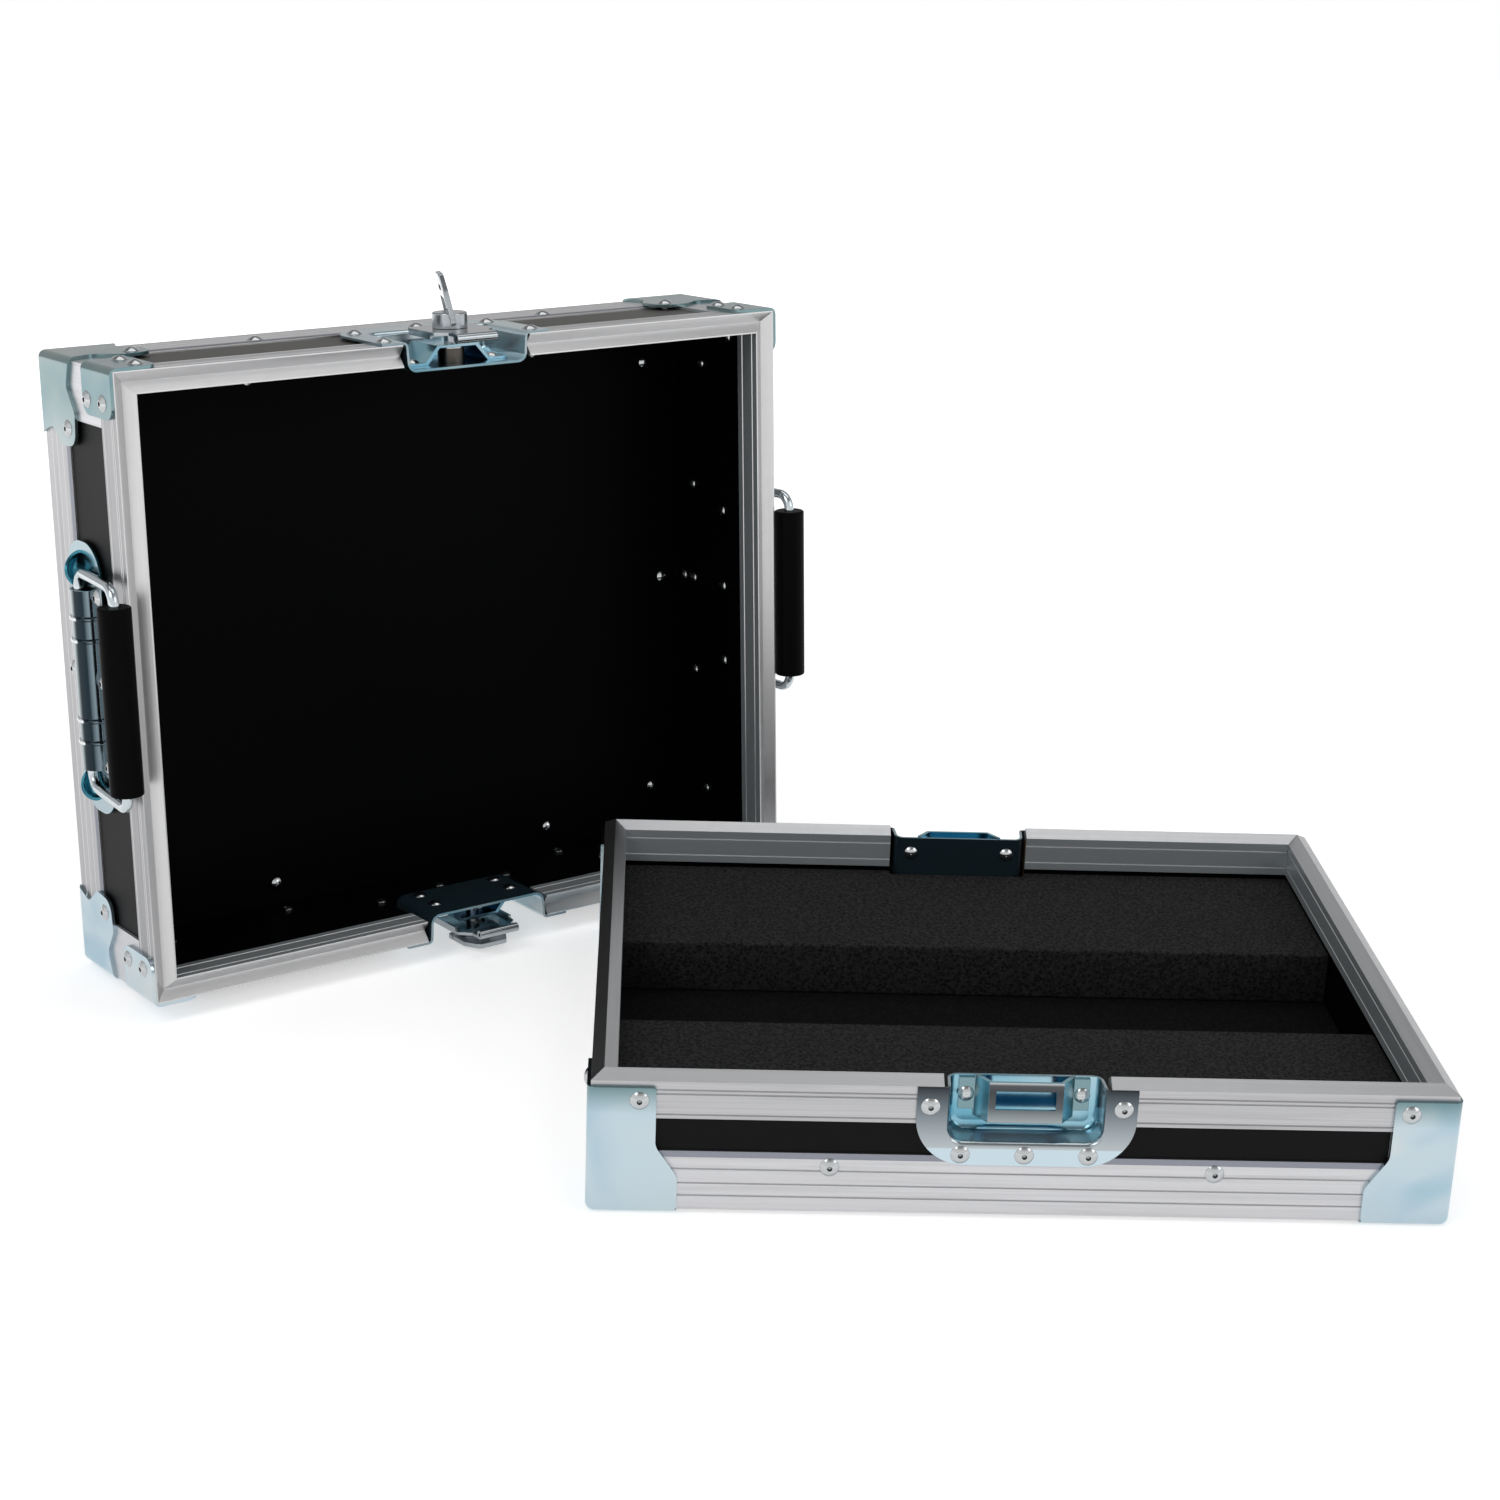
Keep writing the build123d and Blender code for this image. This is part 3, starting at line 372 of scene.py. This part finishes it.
def bridge_zinc(name, outward):
    """Latch bridge: teal outside, and painted shade in deep blue under its arch."""
    tree = Tree(f"{name}_zinc")
    here = tree.place()
    colour = zinc_colour(tree, here, (0.26, 0.46, 0.53), (0.44, 0.6, 0.65), (0.14, 0.36, 0.48))
    # Painted shade: faces under the arch are a dark deep blue
    colour = tree.mix(tree.window(tree.facing(outward), 0.1, -0.2), colour, (0.015, 0.09, 0.19))
    return tree.set(colour=colour, metal=1.0, rough=tree.span(tree.noise(here, 90.0, 4.0), 0.14, 0.26),
                    normal=tree.soft_edge(0.0004))


def handle_zinc(name, board, outward):
    """Handle plate: polished steel, mostly dark by painted reflection, painted highlights on the rings round
    the barrel and teal inside the end hoods.
    """
    tree = Tree(f"{name}_zinc")
    here = tree.place(LID_TURN)
    # Painted reflection: light where a face turns back from the lid's open side, darkest where it leans out
    # and a little lighter where it faces straight out
    turned_out = tree.window(tree.facing(LID_OUT), -0.25, 1.0)
    dark = tree.ramp(turned_out, (0.0, (0.42, 0.47, 0.49)), (0.22, (0.3, 0.35, 0.37)),
                     (0.42, (0.03, 0.042, 0.05)), (0.8, (0.016, 0.026, 0.034)), (0.93, (0.16, 0.21, 0.24)))
    level = tree.along(outward, face_level(board, outward), 1.0)
    reach = tree.math("ABSOLUTE", tree.along(LID_UP, LID_UP.dot(middle_of(board)), 1.0))
    # Painted highlight: the top of the barrel between 20 and 40 mm each side of the middle, at its rings, is
    # painted bright
    ring = tree.window(level, 10.1 * MM, 10.4 * MM)
    past_middle = tree.window(reach, 20 * MM, 21 * MM)
    between = tree.math("MULTIPLY", past_middle, tree.window(reach, 40 * MM, 39 * MM))
    colour = tree.mix(tree.math("MULTIPLY", ring, between), dark, (0.76, 0.79, 0.81))
    ends = tree.window(reach, 52.8 * MM, 53.4 * MM)
    hollow = tree.math("MULTIPLY", ends, tree.window(tree.facing(LID_OUT), 0.05, 0.3))
    colour = tree.mix(ends, colour, (0.36, 0.46, 0.5))
    colour = tree.mix(hollow, colour, (0.1, 0.36, 0.45))
    rough = tree.span(tree.noise(here, 80.0, 4.0), 0.1, 0.22)
    return tree.set(colour=colour, metal=1.0, rough=rough, normal=tree.soft_edge(0.0004))


def bright(name, colour=(0.7, 0.72, 0.735), rough=(0.1, 0.24)):
    tree = Tree(name)
    here = tree.place()
    shade = tree.mix(tree.noise(here, 90.0, 3.0), colour, tuple(0.8 * c for c in colour))
    gloss = tree.span(tree.noise(here, 240.0, 4.0), *rough)
    return tree.set(colour=shade, metal=1.0, rough=gloss, normal=tree.soft_edge(0.0003))


def rivet_steel(name):
    """Bright rivets whose mandrel holes are kept dark by painted shade."""
    tree = Tree(name)
    # Painted shade: the colour goes near black where ambient occlusion within 2.5 mm is strong, in the
    # mandrel holes most
    painted_recess_shade = tree.add("AmbientOcclusion", samples=8, only_local=True)
    painted_recess_shade.inputs["Distance"].default_value = 2.5 * MM
    colour = tree.ramp(painted_recess_shade.outputs["AO"], (0.3, (0.01, 0.01, 0.01)), (0.7, (0.5, 0.515, 0.525)))
    here = tree.place()
    rough = tree.span(tree.noise(here, 240.0, 4.0), 0.1, 0.22)
    return tree.set(colour=colour, metal=1.0, rough=rough, normal=tree.soft_edge(0.0003))


def black_panel(name, turn, centre, rim_way):
    """Smooth phenolic film on plywood: near black, with a soft sheen outside, painted light on outer faces
    that look up, painted shade on the inner faces, and bare plies where cut.
    """
    tree = Tree(name)
    here = tree.place(turn)
    film = tree.noise(here, 900.0, 4.0, 0.6)
    haze = tree.noise(here, 9.0, 3.0)
    outer = tree.outer_side(centre)
    colour = tree.ramp(haze, (0.3, (0.0032, 0.0032, 0.0036)), (0.8, (0.0055, 0.0054, 0.0056)))
    # Painted light: outer faces that look up are lightened to a warm grey
    painted_top_light = tree.window(tree.facing(Vector((0, 0, 1))), 0.85, 0.95)
    colour = tree.mix(painted_top_light, colour, (0.075, 0.073, 0.068))
    # Painted shade: faces inside the case are darker than the outer ones
    colour = tree.mix(outer, (0.0009, 0.0011, 0.001), colour)
    beside = tree.math("ABSOLUTE", tree.along(rim_way, rim_way.dot(centre), 1.0))
    across = tree.window(tree.math("ABSOLUTE", tree.facing(rim_way)), 0.5, 0.8)
    cut = tree.math("MULTIPLY", tree.window(beside, 44.5 * MM, 43.5 * MM), across)
    plies = tree.noise(tree.place(turn, (0.02, 0.0012, 0.02)), 1.0, 2.0)
    wood = tree.ramp(plies, (0.4, (0.16, 0.09, 0.045)), (0.6, (0.36, 0.23, 0.13)))
    colour = tree.mix(cut, colour, wood)
    return tree.set(colour=colour, rough=tree.span(haze, 0.42, 0.55), gloss=tree.span(outer, 0.03, 0.1),
                    normal=tree.bump(film, 0.00003, 0.35))


def foam_material(name, shade=1.0):
    """Charcoal foam: dark pores between paler cell walls, and a slow drift where the knife went through."""
    tree = Tree(name)
    here = tree.place()
    pores = tree.cells(here, 430.0)
    fine = tree.noise(here, 900.0, 3.0, 0.7)
    slow = tree.noise(here, 30.0, 4.0)
    walls = tree.ramp(pores, (0.15, grey(0.003 * shade)), (0.75, grey(0.03 * shade)))
    colour = tree.mix(tree.window(fine, 0.54, 0.72), walls, grey(0.075 * shade))
    colour = tree.mix(tree.span(slow, 0.0, 0.3), colour, grey(0.012 * shade))
    return tree.set(colour=colour, rough=0.95, gloss=0.1, normal=tree.bump(fine, 0.0004, 0.7))


def grip_material(name):
    tree = Tree(name)
    here = tree.place()
    skin = tree.noise(here, 300.0, 4.0, 0.6)
    colour = tree.mix(skin, (0.0012, 0.0012, 0.0012), (0.0026, 0.0026, 0.0026))
    return tree.set(colour=colour, rough=tree.span(skin, 0.4, 0.5), gloss=0.035,
                    normal=tree.bump(skin, 0.00004, 0.3, 0.0005))


def dress(material, *names):
    """Gives each named node one material."""
    for name in names:
        slots = nodes[name].data.materials
        slots.clear()
        slots.append(material)


def outline_block(name, outline, low, high, material):
    """Foam block from a plan outline, with softened edges."""
    mesh = bmesh.new()
    base = mesh.faces.new([mesh.verts.new((x, y, low)) for x, y in outline])
    raised = bmesh.ops.extrude_face_region(mesh, geom=[base])
    top = [v for v in raised["geom"] if isinstance(v, bmesh.types.BMVert)]
    bmesh.ops.translate(mesh, verts=top, vec=(0, 0, high - low))
    bmesh.ops.recalc_face_normals(mesh, faces=mesh.faces)
    data = bpy.data.meshes.new(name)
    mesh.to_mesh(data)
    mesh.free()
    block = bpy.data.objects.new(name, data)
    bpy.context.collection.objects.link(block)
    bevel = block.modifiers.new("edge", "BEVEL")
    bevel.width = FOAM_EDGE
    bevel.segments = 3
    data.materials.append(material)
    for polygon in data.polygons:
        polygon.use_smooth = True
    return block


def notched(low, high, tub_low, tub_high, at_low):
    """Plan of a bar whose outer side, the low one if at_low, has a notch round a keeper's tub."""
    x0, x1 = low.x + FOAM_SHY, high.x - FOAM_SHY
    y0, y1 = low.y + FOAM_SHY, high.y - FOAM_SHY
    n0, n1 = tub_low.x - 2 * FOAM_SHY, tub_high.x + 2 * FOAM_SHY
    if at_low:
        inner = tub_high.y + 2 * FOAM_SHY
        return [(x0, y0), (n0, y0), (n0, inner), (n1, inner), (n1, y0), (x1, y0), (x1, y1), (x0, y1)]
    inner = tub_low.y - 2 * FOAM_SHY
    return [(x0, y0), (x1, y0), (x1, y1), (n1, y1), (n1, inner), (n0, inner), (n0, y1), (x0, y1)]


def make_foam():
    material = foam_material("charcoal_foam", 0.85)
    # Painted shadow: the floor lining between the bars is made far darker than the bars' foam, as their
    # shadow
    shadowed = foam_material("floor_foam_painted_shadow", 0.16)
    tub_half = Vector((KEEPER_TUB_HALF, 0, 0))
    for side, at_low in (("front", True), ("rear", False)):
        low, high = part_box(f"{side}_foam_bar")
        dish_low, dish_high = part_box(f"{side}_keeper_dish")
        middle = (dish_low + dish_high) / 2
        tub_low = Vector((middle.x, dish_low.y, 0)) - tub_half
        tub_high = Vector((middle.x, dish_high.y, 0)) + tub_half
        plan = notched(low, high, tub_low, tub_high, at_low)
        bar = outline_block(f"{side}_foam", plan, low.z, high.z, material)
        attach(bar, "base")
        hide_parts(f"{side}_foam_bar")
    low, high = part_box("base_floor_lining")
    plan = [(low.x, low.y), (high.x, low.y), (high.x, high.y), (low.x, high.y)]
    sheet = outline_block("floor_foam", plan, low.z, high.z, shadowed)
    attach(sheet, "base")
    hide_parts("base_floor_lining")


def dress_nodes():
    halves = (
        ("base", BASE_TURN, Vector((0, 0, 1)), Vector((1, 0, 0)), Vector((0, 0, 1)), 28 * MM),
        ("lid", LID_TURN, LID_OUT, LID_ALONG, LID_UP, 160 * MM),
    )
    for half, turn, opening, rim_way, up, reach in halves:
        roof_painted_light = ROOF_PAINTED_LIGHT[half]
        centre = (middle_of(f"{half}_left_panel") + middle_of(f"{half}_right_panel")) / 2
        long_rim = aluminium(f"{half}_rim_long", turn, 0, RIM_TONES, roof_painted_light, opening, centre)
        # Painted shade on the lid's short sides
        shade = SHORT_SIDE_PAINTED_SHADE[half]
        short_rim_tones = [shade * tone for tone in RIM_TONES]
        short_edge_tones = [shade * tone for tone in EDGE_TONES]
        short_rim = aluminium(f"{half}_rim_short", turn, 1, short_rim_tones, roof_painted_light, opening, centre)
        long_edge = aluminium(f"{half}_edge_long", turn, 0, EDGE_TONES, roof_painted_light, opening, centre)
        short_edge = aluminium(f"{half}_edge_short", turn, 1, short_edge_tones, roof_painted_light, opening, centre)
        upright = aluminium(f"{half}_corner", turn, 2, EDGE_TONES, roof_painted_light, opening, centre)
        dress(long_rim, f"{half}_long_rims")
        dress(short_rim, f"{half}_short_rims")
        dress(long_edge, f"{half}_long_edge_profiles")
        dress(short_edge, f"{half}_short_edge_profiles")
        dress(upright, f"{half}_corner_profiles")
        boards = black_panel(f"{half}_black_board", turn, centre, rim_way)
        dress(boards, *[n for n in nodes if n.startswith(half) and n.endswith("_panel")])
        braces = brace_zinc(f"{half}_brace_zinc", turn, up, centre, reach)
        dress(braces, *[n for n in nodes if n.startswith(half) and "_brace" in n])
    down = Vector((0, 0, -1))
    for side, outward in (("front", Vector((0, -1, 0))), ("rear", Vector((0, 1, 0)))):
        board, dish = f"base_{side}_panel", f"{side}_keeper_dish"
        rim = -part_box(dish)[1].z
        dress(dish_zinc(dish, board, outward, down, rim, True), dish)
        dress(keeper_zinc(f"{side}_keeper", board, outward, down, rim), f"{side}_keeper")
    rim = -LID_OUT.dot(middle_of("lid_back_panel")) - LID_RIM_FROM_BOARD
    for side, board, outward in (("upper", "lid_top_panel", LID_UP), ("lower", "lid_bottom_panel", -LID_UP)):
        dish, bridge = f"{side}_latch_dish", f"{side}_latch_bridge"
        dress(dish_zinc(dish, board, outward, -LID_OUT, rim, False), dish)
        dress(bridge_zinc(bridge, outward), bridge)
    for side, outward in (("left", -LID_ALONG), ("right", LID_ALONG)):
        dress(handle_zinc(f"{side}_handle_plate", f"lid_{side}_panel", outward), f"{side}_handle_plate")
    dress(bright("wire_zinc", (0.6, 0.66, 0.69)), "left_handle_bail", "right_handle_bail")
    dress(bright("latch_zinc", (0.38, 0.41, 0.43)), *[n for n in nodes if n.endswith(LATCH_MOVERS)])
    dress(rivet_steel("rivet_zinc"), "base_rivets", "lid_rivets")
    springs = [n for n in nodes if n.endswith("_latch_spring")]
    dress(bright("spring_steel", (0.09, 0.08, 0.07), (0.25, 0.4)), "handle_springs", *springs)
    dress(grip_material("grip_black"), "left_handle_grip", "right_handle_grip")


def add_camera():
    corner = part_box("base_long_edge_profiles")[0]
    ahead, across = cos(CAMERA_HEADING), sin(CAMERA_HEADING)
    forward = Vector((across * cos(CAMERA_DOWN), ahead * cos(CAMERA_DOWN), -sin(CAMERA_DOWN)))
    level = Vector((ahead, -across, 0))
    above = level.cross(forward)
    right = cos(CAMERA_ROLL) * level + sin(CAMERA_ROLL) * above
    up = cos(CAMERA_ROLL) * above - sin(CAMERA_ROLL) * level
    data = bpy.data.cameras.new("camera")
    data.sensor_fit = "HORIZONTAL"
    data.sensor_width = SENSOR
    data.lens = FOCAL_PIXELS / IMAGE_PIXELS * SENSOR
    data.clip_start = 0.05
    camera = bpy.data.objects.new("camera", data)
    bpy.context.collection.objects.link(camera)
    place = Vector((corner.x + CAMERA_PLACE[0], corner.y + CAMERA_PLACE[1], CAMERA_PLACE[2]))
    camera.matrix_world = Matrix.Translation(place) @ Matrix((right, up, -forward)).transposed().to_4x4()
    bpy.context.scene.camera = camera


def background_rays(tree):
    """1 for rays that see the background: from the camera, or off metal or glass."""
    path = tree.nodes.new("ShaderNodeLightPath")
    first = tree.nodes.new("ShaderNodeMath")
    first.operation = "MAXIMUM"
    second = tree.nodes.new("ShaderNodeMath")
    second.operation = "MAXIMUM"
    tree.links.new(path.outputs["Is Camera Ray"], first.inputs[0])
    tree.links.new(path.outputs["Is Glossy Ray"], first.inputs[1])
    tree.links.new(first.outputs[0], second.inputs[0])
    tree.links.new(path.outputs["Is Transmission Ray"], second.inputs[1])
    return second.outputs[0]


def slope(tree, value, start, end, first, last):
    """Map Range node from start to end on a value, giving first to last."""
    node = tree.nodes.new("ShaderNodeMapRange")
    tree.links.new(value, node.inputs["Value"])
    node.inputs["From Min"].default_value = start
    node.inputs["From Max"].default_value = end
    node.inputs["To Min"].default_value = first
    node.inputs["To Max"].default_value = last
    return node.outputs["Result"]


def light_world():
    """White to the camera, and to metal and glass a studio that is white low down and grey overhead."""
    world = bpy.data.worlds.new("studio")
    bpy.context.scene.world = world
    world.use_nodes = True
    tree = world.node_tree
    background = next(n for n in tree.nodes if n.type == "BACKGROUND")
    background.inputs["Color"].default_value = (1, 1, 1, 1)
    coords = tree.nodes.new("ShaderNodeTexCoord")
    parts = tree.nodes.new("ShaderNodeSeparateXYZ")
    path = tree.nodes.new("ShaderNodeLightPath")
    shade = tree.nodes.new("ShaderNodeMath")
    seen = tree.nodes.new("ShaderNodeMix")
    lit = tree.nodes.new("ShaderNodeMix")
    tree.links.new(coords.outputs["Generated"], parts.inputs[0])
    height = slope(tree, parts.outputs["Z"], STUDIO_WHITE_TO, STUDIO_GREY_FROM, 1.0, STUDIO_OVERHEAD)
    back = slope(tree, parts.outputs["Y"], STUDIO_FRONT_TO, STUDIO_BACK_FROM, 1.0, STUDIO_BACK)
    shade.operation = "MULTIPLY"
    tree.links.new(height, shade.inputs[0])
    tree.links.new(back, shade.inputs[1])
    tree.links.new(path.outputs["Is Camera Ray"], seen.inputs["Factor"])
    tree.links.new(shade.outputs[0], seen.inputs["A"])
    seen.inputs["B"].default_value = 1.0
    tree.links.new(background_rays(tree), lit.inputs["Factor"])
    lit.inputs["A"].default_value = WORLD_LIGHT
    tree.links.new(seen.outputs["Result"], lit.inputs["B"])
    tree.links.new(lit.outputs["Result"], background.inputs["Strength"])


def area(name, place, aim, size, power):
    data = bpy.data.lights.new(name, "AREA")
    data.shape = "RECTANGLE"
    data.size, data.size_y = size
    data.energy = power
    lamp = bpy.data.objects.new(name, data)
    bpy.context.collection.objects.link(lamp)
    lamp.location = place
    lamp.rotation_euler = (Vector(aim) - Vector(place)).to_track_quat("-Z", "Y").to_euler()


def add_floor():
    """Plain white floor that keeps the shadow and turns plain white far from the case."""
    mesh = bmesh.new()
    bmesh.ops.create_grid(mesh, x_segments=1, y_segments=1, size=6.0)
    data = bpy.data.meshes.new("floor")
    mesh.to_mesh(data)
    mesh.free()
    floor = bpy.data.objects.new("floor", data)
    bpy.context.collection.objects.link(floor)
    floor.location = (0, 0, -0.0005)
    tree = Tree("floor_white")
    tree.set(colour=(0.82, 0.82, 0.82), rough=1.0, gloss=0.0)
    white = tree.add("Emission")
    white.inputs["Color"].default_value = (1, 1, 1, 1)
    add = tree.add("AddShader")
    output = next(n for n in tree.tree.nodes if n.type == "OUTPUT_MATERIAL")
    seen = background_rays(tree.tree)
    length = tree.add("VectorMath", operation="LENGTH")
    tree.link(tree.place(), length.inputs[0])
    far = tree.window(length.outputs["Value"], FLOOR_PLAIN_FROM, FLOOR_PLAIN_TO)
    tree.link(tree.math("MULTIPLY", seen, tree.span(far, FLOOR_GLOW, 1.0)), white.inputs["Strength"])
    tree.link(tree.shader.outputs[0], add.inputs[0])
    tree.link(white.outputs[0], add.inputs[1])
    tree.link(add.outputs[0], output.inputs["Surface"])
    data.materials.append(tree.material)


dress_nodes()
make_foam()
add_camera()
add_floor()
light_world()
area("key", (-1.5, -1.6, 2.4), (0, 0, 0.1), (1.6, 1.6), 20.0)
area("fill", (2.2, -1.2, 1.6), (0, 0, 0.1), (1.4, 1.4), 9.0)
area("top", (0.2, 0.5, 2.6), (0, 0, 0), (2.4, 1.6), 15.0)

bpy.context.scene.view_settings.view_transform = "Standard"
